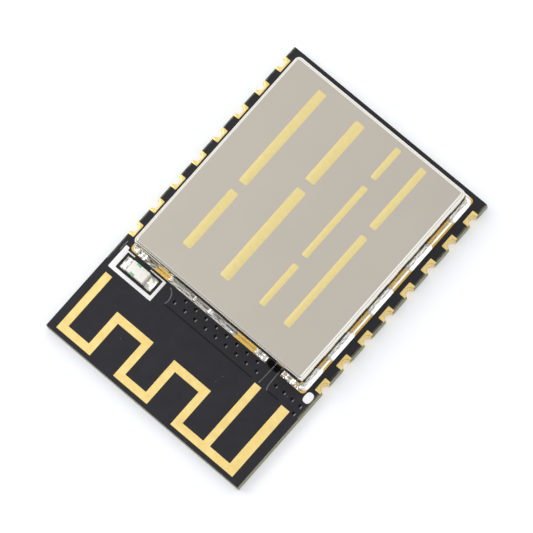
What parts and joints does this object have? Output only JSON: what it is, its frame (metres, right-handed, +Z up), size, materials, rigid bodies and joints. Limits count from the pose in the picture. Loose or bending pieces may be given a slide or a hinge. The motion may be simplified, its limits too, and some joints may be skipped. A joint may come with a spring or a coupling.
{
  "type": "wifi module",
  "caption": "Small castellated radio module: black board with a printed meander antenna, plated half-hole contacts along both edges, a soldered metal shield can and an indicator LED.",
  "frame": {"origin": "under the middle of the board, on the board's flat underside", "axes": "+Z up out of the board's component side, +Y along the board towards the antenna end, +X across the board towards the edge beside the LED; the dotted first contact is on the -X edge"},
  "size_m": [0.016, 0.0236, 0.003],
  "materials": {
    "laminate": "matt glass-fibre laminate, seen at the routed edges",
    "solder_mask": "black lacquer, satin",
    "gold_plate": "thin gold over nickel, satin",
    "copper_plate": "plated copper",
    "shield_metal": "plated sheet, satin lid and bright walls",
    "solder": "bright tin solder",
    "led_white": "white laminate",
    "led_cream": "milky epoxy",
    "led_green": "green ink",
    "white_print": "white ink",
    "chip_mould": "black moulding compound",
    "tin_plate": "matt tin",
    "dark_ceramic": "dark ceramic",
    "crystal_metal": "plated lid",
    "tan_ceramic": "fired ceramic",
    "resistor_glaze": "black glaze",
    "blue_ceramic": "pale blue ceramic"
  },
  "bodies": {
    "root": {"board_core": "laminate", "top_solder_mask": "solder_mask", "bottom_solder_mask": "solder_mask", "antenna_trace": "gold_plate", "ground_ring": "gold_plate", "component_lands": "gold_plate", "via_barrels": "copper_plate", "shield_can": "shield_metal", "shield_solder": "solder", "led_base": "led_white", "led_lens": "led_cream", "led_terminals": "gold_plate", "led_solder": "solder", "led_marks": "led_green", "led_frame_print": "white_print", "first_contact_dot": "white_print", "processor_body": "chip_mould", "processor_pads": "tin_plate", "memory_body": "chip_mould", "memory_leads": "tin_plate", "crystal_base": "dark_ceramic", "crystal_lid": "crystal_metal", "crystal_pads": "gold_plate", "capacitor_bodies": "tan_ceramic", "capacitor_caps": "tin_plate", "resistor_bodies": "resistor_glaze", "resistor_caps": "tin_plate", "inductor_bodies": "blue_ceramic", "inductor_caps": "tin_plate", "contact_left_1": "gold_plate", "contact_left_2": "gold_plate", "contact_left_3": "gold_plate", "contact_left_4": "gold_plate", "contact_left_5": "gold_plate", "contact_left_6": "gold_plate", "contact_left_7": "gold_plate", "contact_left_8": "gold_plate", "contact_right_1": "gold_plate", "contact_right_2": "gold_plate", "contact_right_3": "gold_plate", "contact_right_4": "gold_plate", "contact_right_5": "gold_plate", "contact_right_6": "gold_plate", "contact_right_7": "gold_plate", "contact_right_8": "gold_plate"}
  },
  "joints": []
}
